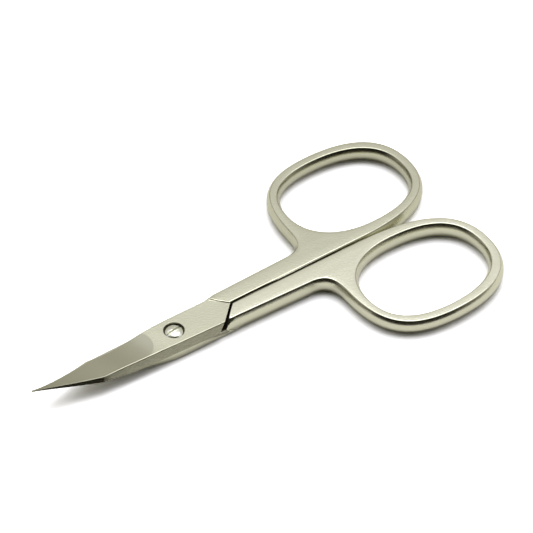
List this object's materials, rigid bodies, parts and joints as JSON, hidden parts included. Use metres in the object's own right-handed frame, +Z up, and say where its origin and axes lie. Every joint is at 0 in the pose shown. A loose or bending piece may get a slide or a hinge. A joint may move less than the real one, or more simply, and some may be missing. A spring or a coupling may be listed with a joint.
{
  "type": "toenail scissors",
  "caption": "Small steel scissors with short curved blades, a lapped screw joint and oval finger rings, for cutting toenails.",
  "frame": {"origin": "middle of the closed scissors' footprint, on the surface that they lie on", "axes": "+X along the scissors towards the finger rings, with the points towards -X; +Z up, out of the face with the screw's slot, which is the side the blades curve towards"},
  "size_m": [0.0952, 0.0514, 0.0057],
  "materials": {
    "satin_steel": "satin, fine brushed, warm nickel tone",
    "polished_screw": "polished"
  },
  "bodies": {
    "lower": {"lower_half": "satin_steel", "pivot_screw": "polished_screw"},
    "upper": {"upper_half": "satin_steel"}
  },
  "joints": [
    {"name": "screw_pivot", "type": "hinge", "parent": "lower", "child": "upper", "pos_m": [-0.01673, 0, 0.0019], "axis": [0, 0, 1], "range_deg": [0, 130]}
  ]
}
